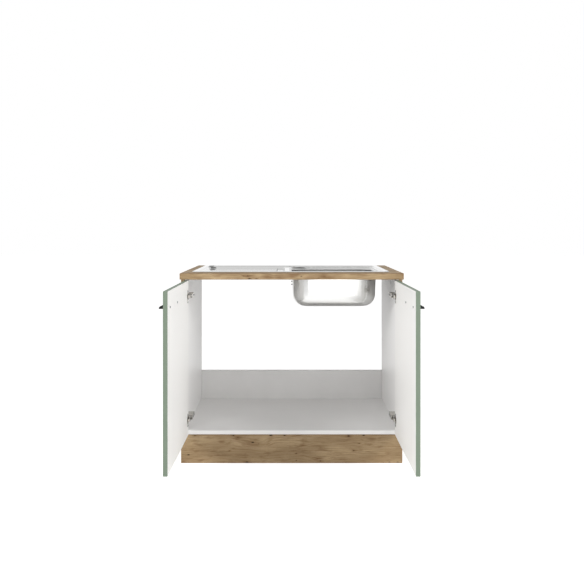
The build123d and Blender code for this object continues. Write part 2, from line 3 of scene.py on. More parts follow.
import bpy
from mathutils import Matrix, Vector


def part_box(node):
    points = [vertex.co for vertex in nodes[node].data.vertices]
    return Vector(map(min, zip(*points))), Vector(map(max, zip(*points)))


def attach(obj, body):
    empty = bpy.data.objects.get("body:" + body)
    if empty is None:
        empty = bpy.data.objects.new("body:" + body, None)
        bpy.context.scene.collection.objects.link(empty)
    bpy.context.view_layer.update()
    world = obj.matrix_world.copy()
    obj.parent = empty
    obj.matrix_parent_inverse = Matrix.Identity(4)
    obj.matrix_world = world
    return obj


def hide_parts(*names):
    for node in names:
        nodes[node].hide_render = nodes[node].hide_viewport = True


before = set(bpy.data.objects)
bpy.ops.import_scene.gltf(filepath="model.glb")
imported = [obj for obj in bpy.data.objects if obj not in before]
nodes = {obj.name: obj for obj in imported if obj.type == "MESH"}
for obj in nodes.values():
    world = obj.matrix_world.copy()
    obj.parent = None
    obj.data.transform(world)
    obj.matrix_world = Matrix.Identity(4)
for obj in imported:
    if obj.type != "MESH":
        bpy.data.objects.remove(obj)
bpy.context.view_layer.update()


# Plinth: strips of chipboard, in the same printed oak decor as the worktop over the full front and
# at the sides, and white at the rear. With softwood blocks glued in its corners it is a frame that
# the carcass stands on.
def linear(code):
    """An sRGB hex colour, such as #A99173, as the linear colour that a socket takes."""
    parts = [int(code[i : i + 2], 16) / 255 for i in (1, 3, 5)]
    return (
        *(c / 12.92 if c <= 0.04045 else ((c + 0.055) / 1.055) ** 2.4 for c in parts),
        1.0,
    )


def add(tree, kind, settings=None, inputs=None):
    """One shader node with its settings; each input is a value or the socket that feeds it."""
    node = tree.nodes.new(kind)
    for name, value in (settings or {}).items():
        setattr(node, name, value)
    for name, value in (inputs or {}).items():
        if isinstance(value, bpy.types.NodeSocket):
            tree.links.new(value, node.inputs[name])
        else:
            node.inputs[name].default_value = value
    return node


def new_finish(name):
    """A new material: itself, its node tree, its shader, and the place on the piece."""
    material = bpy.data.materials.new(name)
    material.use_nodes = True
    tree = material.node_tree
    place = add(tree, "ShaderNodeTexCoord").outputs["Object"]
    return material, tree, tree.nodes["Principled BSDF"], place


def dress(material, *names):
    """Gives whole CAD nodes this material."""
    for name in names:
        mesh = nodes[name].data
        mesh.materials.clear()
        mesh.materials.append(material)


millimetre = 0.001
oak_light = "#B39B78"
oak_base = "#9A8262"
oak_streak = "#7B6346"
# The smudge brown also serves as painted shade along a board's edges.
oak_smudge_and_edge_shade = "#6F5134"
oak_eye = "#2B1D13"
knot_flatness = 0.42  # a knot is 2.4 times as long along the grain as across it
least_fall = 0.001 * millimetre  # so that an eye of no size doesn't end where it starts
grain_wander = 26 * millimetre
# How dark the painted shade along a board's edges is at the very edge.
edge_shade_depth = 0.75


def oak_print(tree, along, across, layer, marks, edges):
    """Knotty oak as it is printed for boards: growth lines along the grain, pale and brown clouds,
    open pores, and the knots in marks, each (along, across, eye radius, halo radius), round which
    the lines part. Along the edges, each (across, width), the print is darkened: painted shade,
    for the shadow that falls along a board's edges. Gives the colour, the pores and the growth
    lines."""
    flat = add(tree, "ShaderNodeCombineXYZ", inputs={0: along, 1: across, 2: layer}).outputs[0]
    knots = []
    for mark_along, mark_across, eye_radius, halo_radius in marks:
        shifted = add(
            tree,
            "ShaderNodeVectorMath",
            {"operation": "SUBTRACT"},
            {0: flat, 1: (mark_along, mark_across, 0)},
        ).outputs[0]
        flattened = add(
            tree,
            "ShaderNodeVectorMath",
            {"operation": "MULTIPLY"},
            {0: shifted, 1: (knot_flatness, 1, 1)},
        ).outputs[0]
        reach = add(
            tree, "ShaderNodeVectorMath", {"operation": "LENGTH"}, {0: flattened}
        ).outputs["Value"]
        # The grain bulges round a knot, a brown halo lies on it, and it may have a dark eye.
        parts = [
            add(
                tree,
                "ShaderNodeMapRange",
                {"interpolation_type": fall},
                {0: reach, 1: full_to, 2: gone_at, 3: most, 4: 0.0},
            ).outputs[0]
            for fall, full_to, gone_at, most in (
                ("SMOOTHERSTEP", 0.0, 2.2 * halo_radius, 0.45 * halo_radius),
                ("SMOOTHSTEP", 0.0, halo_radius, 1.0),
                ("SMOOTHSTEP", 0.4 * eye_radius, 1.25 * eye_radius + least_fall, 1.0),
            )
        ]
        if knots:
            parts = [
                add(tree, "ShaderNodeMath", {"operation": join}, {0: others, 1: part}).outputs[0]
                for join, others, part in zip(("ADD", "MAXIMUM", "MAXIMUM"), knots, parts)
            ]
        knots = parts
    bulge, halo, eye = knots

    # A slow wander, some 20 cm long and 7 cm wide, and the knots bend the grain.
    stretched = add(
        tree, "ShaderNodeVectorMath", {"operation": "MULTIPLY"}, {0: flat, 1: (5, 14, 9)}
    ).outputs[0]
    wander = add(
        tree, "ShaderNodeTexNoise", inputs={"Vector": stretched, "Scale": 1.0, "Detail": 2.0}
    ).outputs[0]
    lifted = add(
        tree,
        "ShaderNodeMath",
        {"operation": "MULTIPLY_ADD"},
        {0: wander, 1: grain_wander, 2: bulge},
    ).outputs[0]
    shift = add(tree, "ShaderNodeCombineXYZ", inputs={1: lifted}).outputs[0]
    bent = add(tree, "ShaderNodeVectorMath", {"operation": "ADD"}, {0: flat, 1: shift}).outputs[0]

    # Four layers of the print. Growth lines are 3 to 8 mm apart and 10 to 20 cm long, brown
    # smudges 20 by 70 mm, clouds 60 by 200 mm. Pores are 0.3 mm wide; here 1.3 mm, so they show.
    layers = []
    for scale, detail, roughness, low, high, most in (
        ((11, 240, 90), 5.0, 0.62, 0.43, 0.68, 0.62),
        ((13, 46, 30), 3.0, 0.55, 0.5, 0.72, 0.55),
        ((4.5, 15, 12), 3.0, 0.5, 0.36, 0.66, 0.95),
        ((70, 780, 300), 2.0, 0.5, 0.55, 0.7, 0.4),
    ):
        stretched = add(
            tree, "ShaderNodeVectorMath", {"operation": "MULTIPLY"}, {0: bent, 1: scale}
        ).outputs[0]
        noise = add(
            tree,
            "ShaderNodeTexNoise",
            inputs={"Vector": stretched, "Scale": 1.0, "Detail": detail, "Roughness": roughness},
        ).outputs[0]
        layers.append(
            add(
                tree,
                "ShaderNodeMapRange",
                {"interpolation_type": "SMOOTHSTEP"},
                {0: noise, 1: low, 2: high, 3: 0.0, 4: most},
            ).outputs[0]
        )
    lines, smudges, clouds, pores = layers

    # The halo breaks up with the growth lines, so that a knot has no drawn outline.
    ragged = add(
        tree, "ShaderNodeMath", {"operation": "MULTIPLY_ADD"}, {0: lines, 1: 0.7, 2: 0.45}
    ).outputs[0]
    halo = add(tree, "ShaderNodeMath", {"operation": "MULTIPLY"}, {0: halo, 1: ragged}).outputs[0]

    # Painted shade: the print is darkened along the board's edges, where shadow falls in the gaps
    # beside it.
    painted_edge_shade = None
    for edge, width in edges:
        away = add(
            tree, "ShaderNodeMath", {"operation": "SUBTRACT"}, {0: across, 1: edge}
        ).outputs[0]
        away = add(tree, "ShaderNodeMath", {"operation": "ABSOLUTE"}, {0: away}).outputs[0]
        strip = add(
            tree, "ShaderNodeMapRange", inputs={0: away, 1: 0.0, 2: width, 3: edge_shade_depth, 4: 0.0}
        ).outputs[0]
        if painted_edge_shade is not None:
            strip = add(
                tree, "ShaderNodeMath", {"operation": "MAXIMUM"}, {0: painted_edge_shade, 1: strip}
            ).outputs[0]
        painted_edge_shade = strip

    tone = add(
        tree,
        "ShaderNodeMix",
        {"data_type": "RGBA"},
        {0: clouds, 6: linear(oak_base), 7: linear(oak_light)},
    ).outputs[2]
    for amount, colour in (
        (lines, oak_streak),
        (smudges, oak_smudge_and_edge_shade),
        (pores, oak_streak),
        (halo, oak_smudge_and_edge_shade),
        (painted_edge_shade, oak_smudge_and_edge_shade),
        (eye, oak_eye),
    ):
        if amount is not None:
            tone = add(
                tree,
                "ShaderNodeMix",
                {"data_type": "RGBA"},
                {0: amount, 6: tone, 7: linear(colour)},
            ).outputs[2]
    return tone, pores, lines


def oak_surface(tree, shader, pores, lines):
    """The closed melamine skin over the print: matt, with the pores pressed in a little."""
    gloss = add(
        tree, "ShaderNodeMapRange", inputs={0: lines, 1: 0.0, 2: 0.6, 3: 0.52, 4: 0.64}
    ).outputs[0]
    tree.links.new(gloss, shader.inputs["Roughness"])
    shader.inputs["IOR"].default_value = 1.5
    shader.inputs["Specular IOR Level"].default_value = 0.22
    pressed = add(
        tree,
        "ShaderNodeBump",
        {"invert": True},
        {"Height": pores, "Strength": 0.5, "Distance": 0.15 * millimetre},
    ).outputs[0]
    tree.links.new(pressed, shader.inputs["Normal"])


end_strip_thickness = 0.8 * millimetre


def oak_board(name, marks, edges, board_half_width):
    """Printed oak with the grain along a board's width and round its front edge. The ends have a
    glued strip of the same print, whose grain runs from front to back."""
    material, tree, shader, place = new_finish(name)
    axes = add(tree, "ShaderNodeSeparateXYZ", inputs={0: place}).outputs
    round_edge = add(
        tree, "ShaderNodeMath", {"operation": "ADD"}, {0: axes[1], 1: axes[2]}
    ).outputs[0]
    side = add(tree, "ShaderNodeMath", {"operation": "ABSOLUTE"}, {0: axes[0]}).outputs[0]
    end_strip = add(
        tree,
        "ShaderNodeMath",
        {"operation": "GREATER_THAN"},
        {0: side, 1: board_half_width - end_strip_thickness},
    ).outputs[0]
    along = add(tree, "ShaderNodeMix", inputs={0: end_strip, 2: axes[0], 3: axes[1]}).outputs[0]
    across = add(
        tree, "ShaderNodeMix", inputs={0: end_strip, 2: round_edge, 3: axes[2]}
    ).outputs[0]
    tone, pores, lines = oak_print(tree, along, across, end_strip, marks, edges)
    oak_surface(tree, shader, pores, lines)
    return material, tree, shader, place, tone


# The knots lie where they are on the photographed plinth: place from the middle, height over the
# floor, and in millimetres the radius of the eye and of the halo.
low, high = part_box("plinth_front")
plinth_face = low.y
plinth_marks = [
    (along, plinth_face + height, eye * millimetre, halo * millimetre)
    for along, height, eye, halo in (
        (-0.466, 0.038, 2.6, 6.0),
        (-0.437, 0.125, 1.5, 5.0),
        (-0.316, 0.096, 0.0, 11.0),
        (-0.281, 0.056, 1.0, 6.0),
        (-0.263, 0.126, 2.2, 8.0),
        (-0.243, 0.116, 1.2, 12.0),
        (-0.202, 0.005, 2.8, 14.0),
        (-0.176, 0.094, 3.2, 25.0),
        (-0.150, 0.088, 0.8, 17.0),
        (-0.094, 0.126, 3.4, 8.0),
        (-0.032, 0.126, 2.4, 6.0),
        (0.020, 0.044, 1.6, 6.0),
        (0.021, 0.013, 1.4, 4.0),
        (0.048, 0.082, 0.0, 12.0),
        (0.116, 0.019, 0.8, 16.0),
        (0.130, 0.010, 1.6, 13.0),
        (0.257, 0.123, 3.0, 13.0),
        (0.280, 0.057, 1.6, 5.0),
        (0.305, 0.089, 1.4, 6.0),
        (0.325, 0.126, 2.8, 6.0),
        (0.362, 0.108, 0.0, 14.0),
        (0.442, 0.005, 1.4, 4.0),
        (0.479, 0.005, 1.6, 4.0),
    )
]
# Widths of the painted shade along the plinth's foot, for the shadow at the floor, and along its
# top, for the shadow in the gap under the carcass.
shade_width_at_floor, shade_width_at_top = 3.5 * millimetre, 4.5 * millimetre
plinth_shaded_edges = [(plinth_face + low.z, shade_width_at_floor), (plinth_face + high.z, shade_width_at_top)]
material, tree, shader, _, tone = oak_board(
    "oak_decor_plinth", plinth_marks, plinth_shaded_edges, high.x
)
tree.links.new(tone, shader.inputs["Base Color"])
dress(material, "plinth_front")

# The side strips show the same print, with its grain from front to back.
low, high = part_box("left_plinth_side")
material, tree, shader, place = new_finish("oak_decor_plinth_side")
axes = add(tree, "ShaderNodeSeparateXYZ", inputs={0: place}).outputs
side_marks = [(-0.31, low.z + 0.071, 2.5 * millimetre, 11 * millimetre)]
# The same painted shade along the strips' foot and top.
side_shaded_edges = [(low.z, shade_width_at_floor), (high.z, shade_width_at_top)]
tone, pores, lines = oak_print(tree, axes[1], axes[2], axes[0], side_marks, side_shaded_edges)
tree.links.new(tone, shader.inputs["Base Color"])
oak_surface(tree, shader, pores, lines)
dress(material, "left_plinth_side", "right_plinth_side")


# Corner blocks and dowels: planed spruce blocks are glued into the plinth's corners, and beech
# dowels join the plinth to the carcass. Both are bare, pale and dull, with a soft even grain whose
# lines are about 2 mm apart and run upright.
timber, tree, shader, place = new_finish("planed_softwood")
stretched = add(
    tree, "ShaderNodeVectorMath", {"operation": "MULTIPLY"}, {0: place, 1: (450, 450, 18)}
).outputs[0]
grain = add(
    tree, "ShaderNodeTexNoise", inputs={"Vector": stretched, "Scale": 1.0, "Detail": 3.0}
).outputs[0]
tone = add(
    tree,
    "ShaderNodeMix",
    {"data_type": "RGBA"},
    {0: grain, 6: linear("#C79F6B"), 7: linear("#E7CDA0")},
).outputs[2]
tree.links.new(tone, shader.inputs["Base Color"])
gloss = add(
    tree, "ShaderNodeMapRange", inputs={0: grain, 1: 0.3, 2: 0.7, 3: 0.72, 4: 0.85}
).outputs[0]
tree.links.new(gloss, shader.inputs["Roughness"])
dress(timber, "plinth_corner_blocks", "plinth_dowels")


# Carcass: two sides, a bottom and a low back rail of 18 mm chipboard faced with white melamine,
# the sides with oak decor outside and on their front edge. The front edges have a glued plastic
# band; the rear edges, against the wall, are left raw.
def raw_chipboard(tree, place):
    """The colour of a sawn chipboard edge: pressed softwood flakes 1 to 4 mm long that lie flat,
    some lighter and some darker."""
    squashed = add(
        tree, "ShaderNodeVectorMath", {"operation": "MULTIPLY"}, {0: place, 1: (1, 1, 1.9)}
    ).outputs[0]
    flakes = add(
        tree, "ShaderNodeTexVoronoi", inputs={"Vector": squashed, "Scale": 1 / (2.2 * millimetre)}
    ).outputs["Color"]
    shade = add(tree, "ShaderNodeSeparateColor", inputs={0: flakes}).outputs[0]
    return add(
        tree,
        "ShaderNodeMix",
        {"data_type": "RGBA"},
        {0: shade, 6: linear("#AE8E63"), 7: linear("#CFB289")},
    ).outputs[2]


def melamine(tree, shader, place, tint, bright="#F4F3F2"):
    """Melamine facing: hard, satin and white, with a fine pearl texture pressed in. Gives its
    colour, which clouds of some 11 cm vary a little."""
    mottle = add(
        tree, "ShaderNodeTexNoise", inputs={"Vector": place, "Scale": 9.0, "Detail": 2.0}
    ).outputs[0]
    tone = add(
        tree,
        "ShaderNodeMix",
        {"data_type": "RGBA"},
        {0: mottle, 6: linear(tint), 7: linear(bright)},
    ).outputs[2]
    # The pearl is 0.4 mm from top to top on the board; here 2 mm, so that it shows.
    pearl = add(
        tree,
        "ShaderNodeTexNoise",
        inputs={"Vector": place, "Scale": 1 / (2 * millimetre), "Detail": 1.0},
    ).outputs[0]
    gloss = add(
        tree, "ShaderNodeMapRange", inputs={0: pearl, 1: 0.3, 2: 0.7, 3: 0.38, 4: 0.46}
    ).outputs[0]
    tree.links.new(gloss, shader.inputs["Roughness"])
    pressed = add(
        tree,
        "ShaderNodeBump",
        inputs={"Height": pearl, "Strength": 0.25, "Distance": 0.05 * millimetre},
    ).outputs[0]
    tree.links.new(pressed, shader.inputs["Normal"])
    shader.inputs["IOR"].default_value = 1.5
    return tone


def where(tree, value, relation, limit, first, second):
    """The first colour, or the second where the value is above or below the limit."""
    mask = add(tree, "ShaderNodeMath", {"operation": relation}, {0: value, 1: limit}).outputs[0]
    return add(
        tree, "ShaderNodeMix", {"data_type": "RGBA"}, {0: mask, 6: first, 7: second}
    ).outputs[2]


facing = 0.3 * millimetre
rear = 0.0  # the unit's rear plane, where the boards end

material, tree, shader, place = new_finish("white_melamine_bottom")
axes = add(tree, "ShaderNodeSeparateXYZ", inputs={0: place}).outputs
tone = melamine(tree, shader, place, "#F0EFEE")
tone = where(tree, axes[1], "GREATER_THAN", rear - facing, tone, raw_chipboard(tree, place))
tree.links.new(tone, shader.inputs["Base Color"])
dress(material, "bottom_panel")

# The rail takes a greyer white than the other boards: painted shade, for the shade deep inside the
# carcass. The plinth's rear strip shares it.
material, tree, shader, place = new_finish("white_melamine_rail_painted_shade")
tone = melamine(tree, shader, place, "#DAD9D8", "#E3E2E1")
tree.links.new(tone, shader.inputs["Base Color"])
dress(material, "back_rail", "plinth_rear")

# Each side is white inside and oak outside, with its grain upright, which runs on round the front
# edge. The knots are given by height, place on the board, eye radius and halo radius.
low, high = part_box("right_side_panel")
material, tree, shader, place = new_finish("oak_and_white_side")
axes = add(tree, "ShaderNodeSeparateXYZ", inputs={0: place}).outputs
white = melamine(tree, shader, place, "#F2F1F0")
off_centre = add(tree, "ShaderNodeMath", {"operation": "ABSOLUTE"}, {0: axes[0]}).outputs[0]
round_edge = add(
    tree, "ShaderNodeMath", {"operation": "SUBTRACT"}, {0: axes[1], 1: off_centre}
).outputs[0]
side_marks = [
    (0.352, -0.790, 4.0 * millimetre, 17 * millimetre),
    (0.612, -0.962, 2.5 * millimetre, 10 * millimetre),
    (0.704, -0.655, 3.0 * millimetre, 13 * millimetre),
]
tone, pores, lines = oak_print(tree, axes[2], round_edge, axes[0], side_marks, [])
tone = where(tree, off_centre, "LESS_THAN", low.x + facing, tone, white)
tone = where(tree, axes[1], "GREATER_THAN", rear - facing, tone, raw_chipboard(tree, place))
tree.links.new(tone, shader.inputs["Base Color"])
dress(material, "left_side_panel", "right_side_panel")


# Screws, the worktop's angle brackets and the sink's clips: mild steel, zinc plated and
# passivated, a cool grey with a faint mottle. The grey is partly the plating's own and partly
# painted shade: it is darker than bare plating, so that the brackets lie dark in the shadow under
# the worktop. The brackets and clips are pressed; the screws are headed cold, with a cross recess
# for the driver.
zinc, tree, shader, place = new_finish("zinc_plated_steel_with_painted_shade")
spangle = add(
    tree,
    "ShaderNodeTexNoise",
    inputs={"Vector": place, "Scale": 1 / (6 * millimetre), "Detail": 3.0},
).outputs[0]
# Painted shade in part: both greys are darker than bare zinc plating.
tone = add(
    tree,
    "ShaderNodeMix",
    {"data_type": "RGBA"},
    {0: spangle, 6: linear("#84888C"), 7: linear("#A0A3A5")},
).outputs[2]
tree.links.new(tone, shader.inputs["Base Color"])
shader.inputs["Metallic"].default_value = 1.0
gloss = add(
    tree, "ShaderNodeMapRange", inputs={0: spangle, 1: 0.3, 2: 0.7, 3: 0.3, 4: 0.45}
).outputs[0]
tree.links.new(gloss, shader.inputs["Roughness"])
dress(zinc, "worktop_brackets", "sink_clips")

# Shares of a screw head's radius, and how far the driver's cross narrows to its bottom.
rim_rounding = 0.18
cross_span = 1.35
blade_width = 0.4
cross_taper = 0.55
# Faces turned by less are one, edges turned by less are smooth, and points nearer are one, or lie
# on the head's top.
flat_within = math.radians(1)
crease = math.radians(32)
same_point = 0.001 * millimetre
on_top = 0.01 * millimetre


def recess_screws(name, body, outward, depth):
    """Cuts a cross recess into each head of a node of screws. outward is the axis that the heads
    face, with its sign for a screw left of the middle; right of it the X axis turns over."""
    axis, sign = outward
    bpy.ops.object.select_all(action="DESELECT")
    work = bpy.data.objects.new(name + "_work", nodes[name].data.copy())
    bpy.context.scene.collection.objects.link(work)
    work.select_set(True)
    bpy.context.view_layer.objects.active = work
    bpy.ops.object.mode_set(mode="EDIT")
    bpy.ops.mesh.select_all(action="SELECT")
    bpy.ops.mesh.remove_doubles(threshold=same_point)
    bpy.ops.mesh.dissolve_limited(angle_limit=flat_within)
    bpy.ops.mesh.separate(type="LOOSE")
    bpy.ops.object.mode_set(mode="OBJECT")
    screws = list(bpy.context.selected_objects)
    for screw in screws:
        points = [v.co for v in screw.data.vertices]
        low = [min(p[i] for p in points) for i in range(3)]
        high = [max(p[i] for p in points) for i in range(3)]
        middle = [(a + b) / 2 for a, b in zip(low, high)]
        way = sign * (-1 if axis == 0 and middle[0] > 0 else 1)
        top = list(middle)
        top[axis] = high[axis] if way > 0 else low[axis]
        across = [i for i in range(3) if i != axis]
        head_radius = (high[across[0]] - low[across[0]]) / 2
        # The head's rim is rounded over.
        bpy.ops.object.select_all(action="DESELECT")
        screw.select_set(True)
        bpy.context.view_layer.objects.active = screw
        bpy.ops.object.mode_set(mode="EDIT")
        bpy.ops.mesh.select_mode(type="EDGE")
        bpy.ops.mesh.select_all(action="DESELECT")
        bpy.ops.object.mode_set(mode="OBJECT")
        for edge in screw.data.edges:
            edge.select = all(
                abs(screw.data.vertices[v].co[axis] - top[axis]) < on_top
                for v in edge.vertices
            )
        bpy.ops.object.mode_set(mode="EDIT")
        bpy.ops.mesh.bevel(offset=rim_rounding * head_radius, segments=3)
        bpy.ops.object.mode_set(mode="OBJECT")
        # The driver's cross, tapered to its tip, is taken out of the head.
        for turn in (0, 1):
            span = [0, 0, 0]
            span[axis] = 2 * depth
            span[across[turn]] = cross_span * head_radius
            span[across[1 - turn]] = blade_width * head_radius
            bpy.ops.object.select_all(action="DESELECT")
            bpy.ops.mesh.primitive_cube_add(size=1, location=top, scale=span)
            blade = bpy.context.active_object
            bpy.ops.object.transform_apply(location=True, rotation=True, scale=True)
            bpy.ops.object.mode_set(mode="EDIT")
            bpy.ops.mesh.select_mode(type="VERT")
            bpy.ops.mesh.select_all(action="DESELECT")
            bpy.ops.object.mode_set(mode="OBJECT")
            for vertex in blade.data.vertices:
                vertex.select = (vertex.co[axis] - top[axis]) * way < 0
            bpy.ops.object.mode_set(mode="EDIT")
            bpy.ops.transform.resize(value=(cross_taper,) * 3, center_override=top)
            bpy.ops.object.mode_set(mode="OBJECT")
            bpy.ops.object.select_all(action="DESELECT")
            screw.select_set(True)
            bpy.context.view_layer.objects.active = screw
            cut = screw.modifiers.new("driver_cross", "BOOLEAN")
            cut.operation = "DIFFERENCE"
            cut.solver = "EXACT"
            cut.object = blade
            bpy.ops.object.modifier_apply(modifier=cut.name)
            bpy.data.objects.remove(blade, do_unlink=True)
    bpy.ops.object.select_all(action="DESELECT")
    for screw in screws:
        screw.select_set(True)
    bpy.context.view_layer.objects.active = screws[0]
    if len(screws) > 1:
        bpy.ops.object.join()
    piece = bpy.context.active_object
    piece.name = name + "_with_recess"
    bpy.ops.object.shade_smooth_by_angle(angle=crease)
    piece.data.materials.clear()
    piece.data.materials.append(zinc)
    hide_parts(name)
    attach(piece, body)


recess_screws("carcass_screws", "cabinet", outward=(0, -1), depth=1.6 * millimetre)
recess_screws("clip_screws", "cabinet", outward=(2, -1), depth=0.9 * millimetre)
dress(zinc, "bracket_screws")


# Worktop: 28 mm chipboard under the same oak decor, cut out for the sink. The underside has a
# plain backing paper, and the cut-out's edges are sawn and left raw under the sink's rim.
# The knots are given as the plinth's are, with their height over the front edge's lower line.
low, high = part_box("worktop")
worktop_edge = low.y + low.z
worktop_marks = [
    (along, worktop_edge + height, eye * millimetre, halo * millimetre)
    for along, height, eye, halo in (
        (-0.214, 0.016, 1.2, 7.0),
        (-0.196, 0.017, 1.8, 12.0),
        (-0.188, 0.005, 2.8, 10.0),
        (-0.172, 0.013, 0.0, 12.0),
        (-0.157, 0.004, 1.5, 6.0),
        (-0.108, 0.014, 0.0, 17.0),
        (-0.052, 0.010, 0.0, 18.0),
        (0.004, 0.017, 0.0, 17.0),
        (0.043, 0.015, 1.8, 4.0),
        (0.120, 0.006, 1.6, 5.0),
        (0.147, 0.014, 0.8, 13.0),
        (0.166, 0.010, 0.0, 11.0),
        (0.470, 0.190, 3.0, 15.0),
        (-0.480, 0.360, 3.0, 14.0),
    )
]
# Painted shade along the worktop front's lower edge, for the soft shadow there, and its upper
# edge, for the shadow under the sink's rim.
worktop_shaded_edges = [
    (worktop_edge, 2.5 * millimetre),
    (worktop_edge + high.z - low.z, 3.5 * millimetre),
]
material, tree, shader, place, tone = oak_board(
    "oak_decor_worktop", worktop_marks, worktop_shaded_edges, high.x
)
axes = add(tree, "ShaderNodeSeparateXYZ", inputs={0: place}).outputs
backing = add(
    tree,
    "ShaderNodeTexNoise",
    inputs={"Vector": place, "Scale": 1 / (5 * millimetre), "Detail": 3.0},
).outputs[0]
backing = add(
    tree,
    "ShaderNodeMix",
    {"data_type": "RGBA"},
    {0: backing, 6: linear("#6F5F4B"), 7: linear("#83725C")},
).outputs[2]
tone = where(tree, axes[2], "LESS_THAN", low.z + facing, tone, backing)

# The cut-out's sawn edges lie inside the line of the foam seal, which rests round it.
seal_low, seal_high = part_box("sink_seal")
seal_middle = (seal_low + seal_high) / 2
seal_rest = 9.4 * millimetre
cut_half_x = (seal_high.x - seal_low.x) / 2 - seal_rest
cut_half_y = (seal_high.y - seal_low.y) / 2 - seal_rest
centred = add(
    tree,
    "ShaderNodeVectorMath",
    {"operation": "SUBTRACT"},
    {0: place, 1: (seal_middle.x, seal_middle.y, 0)},
).outputs[0]
centred = add(tree, "ShaderNodeVectorMath", {"operation": "ABSOLUTE"}, {0: centred}).outputs[0]
centred = add(tree, "ShaderNodeSeparateXYZ", inputs={0: centred}).outputs
in_width = add(
    tree, "ShaderNodeMath", {"operation": "LESS_THAN"}, {0: centred[0], 1: cut_half_x}
).outputs[0]
in_depth = add(
    tree, "ShaderNodeMath", {"operation": "LESS_THAN"}, {0: centred[1], 1: cut_half_y}
).outputs[0]
sawn = add(
    tree, "ShaderNodeMath", {"operation": "MULTIPLY"}, {0: in_width, 1: in_depth}
).outputs[0]
tone = add(
    tree,
    "ShaderNodeMix",
    {"data_type": "RGBA"},
    {0: sawn, 6: tone, 7: raw_chipboard(tree, place)},
).outputs[2]
tree.links.new(tone, shader.inputs["Base Color"])
dress(material, "worktop")


# Sink: a deck pressed from 0.8 mm stainless sheet with a welded deep-drawn bowl. The sheet has a
# satin grain along its length; the bowl is duller, and its drawn walls bow out a little.
gloss_spread = 0.01
line_strength = 0.04


def stainless(name, stretch, rough, tint, bright):
    """Austenitic stainless sheet: a metal with a soft, slightly warm reflection, brushed along
    the way that stretch draws its grain out. Gives the material and the bump of its lines."""
    material, tree, shader, place = new_finish(name)
    stretched = add(
        tree, "ShaderNodeVectorMath", {"operation": "MULTIPLY"}, {0: place, 1: stretch}
    ).outputs[0]
    # Satin lines are 0.1 mm apart; here 1.2 mm, so that they show.
    grain = add(
        tree,
        "ShaderNodeTexNoise",
        inputs={"Vector": stretched, "Scale": 1 / (1.2 * millimetre), "Detail": 2.0},
    ).outputs[0]
    tone = add(
        tree,
        "ShaderNodeMix",
        {"data_type": "RGBA"},
        {0: grain, 6: linear(tint), 7: linear(bright)},
    ).outputs[2]
    tree.links.new(tone, shader.inputs["Base Color"])
    shader.inputs["Metallic"].default_value = 1.0
    gloss = add(
        tree,
        "ShaderNodeMapRange",
        inputs={0: grain, 1: 0.3, 2: 0.7, 3: rough - gloss_spread, 4: rough + gloss_spread},
    ).outputs[0]
    tree.links.new(gloss, shader.inputs["Roughness"])
    lines = add(
        tree,
        "ShaderNodeBump",
        inputs={"Height": grain, "Strength": line_strength, "Distance": 0.01 * millimetre},
    ).outputs[0]
    tree.links.new(lines, shader.inputs["Normal"])
    return material, tree, shader, place, lines


material, *_ = stainless(
    "satin_stainless_deck", stretch=(0.03, 1, 1), rough=0.1, tint="#DEDEDD", bright="#E4E4E3"
)
dress(material, "sink_deck")

material, tree, shader, place, lines = stainless(
    "drawn_stainless_bowl", stretch=(1, 1, 0.05), rough=0.23, tint="#D3D3D2", bright="#D7D7D6"
)
# The drawn walls bow out, between the corners and between rim and floor, so they gather the
# reflections as the real ones do. The bow is shaded as a height that grows with the square of the
# way from the bowl's middle, and is turned over for the inside, which the normal tells apart.
low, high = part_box("sink_bowl")
middle = (low + high) / 2
wall_bow = 0.45
bow_in_height = 1.2
from_middle = add(
    tree, "ShaderNodeVectorMath", {"operation": "SUBTRACT"}, {0: place, 1: middle}
).outputs[0]
from_middle = add(
    tree,
    "ShaderNodeVectorMath",
    {"operation": "MULTIPLY"},
    {0: from_middle, 1: (1, 1, bow_in_height)},
).outputs[0]
normal = add(tree, "ShaderNodeTexCoord").outputs["Normal"]
outward = add(
    tree, "ShaderNodeVectorMath", {"operation": "DOT_PRODUCT"}, {0: from_middle, 1: normal}
).outputs["Value"]
outward = add(tree, "ShaderNodeMath", {"operation": "SIGN"}, {0: outward}).outputs[0]
spread = add(
    tree, "ShaderNodeVectorMath", {"operation": "DOT_PRODUCT"}, {0: from_middle, 1: from_middle}
).outputs["Value"]
bow = add(tree, "ShaderNodeMath", {"operation": "MULTIPLY"}, {0: spread, 1: outward}).outputs[0]
bow = add(tree, "ShaderNodeMath", {"operation": "MULTIPLY"}, {0: bow, 1: -wall_bow}).outputs[0]
bowed = add(
    tree,
    "ShaderNodeBump",
    inputs={"Height": bow, "Strength": 1.0, "Distance": 1.0, "Normal": lines},
).outputs[0]
tree.links.new(bowed, shader.inputs["Normal"])
dress(material, "sink_bowl")


# Overflow cover: a plate with three holes on the bowl's wall, whose two lugs grip through the
# overflow hole. It is moulded in dark grey plastic, dull, with a fine eroded texture.
plastic, tree, shader, place = new_finish("moulded_dark_plastic")
erosion = add(
    tree,
    "ShaderNodeTexNoise",
    inputs={"Vector": place, "Scale": 1 / (0.9 * millimetre), "Detail": 2.0},
).outputs[0]
tone = add(
    tree,
    "ShaderNodeMix",
    {"data_type": "RGBA"},
    {0: erosion, 6: linear("#1B1C1E"), 7: linear("#292A2C")},
).outputs[2]
tree.links.new(tone, shader.inputs["Base Color"])
shader.inputs["Roughness"].default_value = 0.55
grained = add(
    tree,
    "ShaderNodeBump",
    inputs={"Height": erosion, "Strength": 0.4, "Distance": 0.05 * millimetre},
).outputs[0]
tree.links.new(grained, shader.inputs["Normal"])
dress(plastic, "overflow_cover")


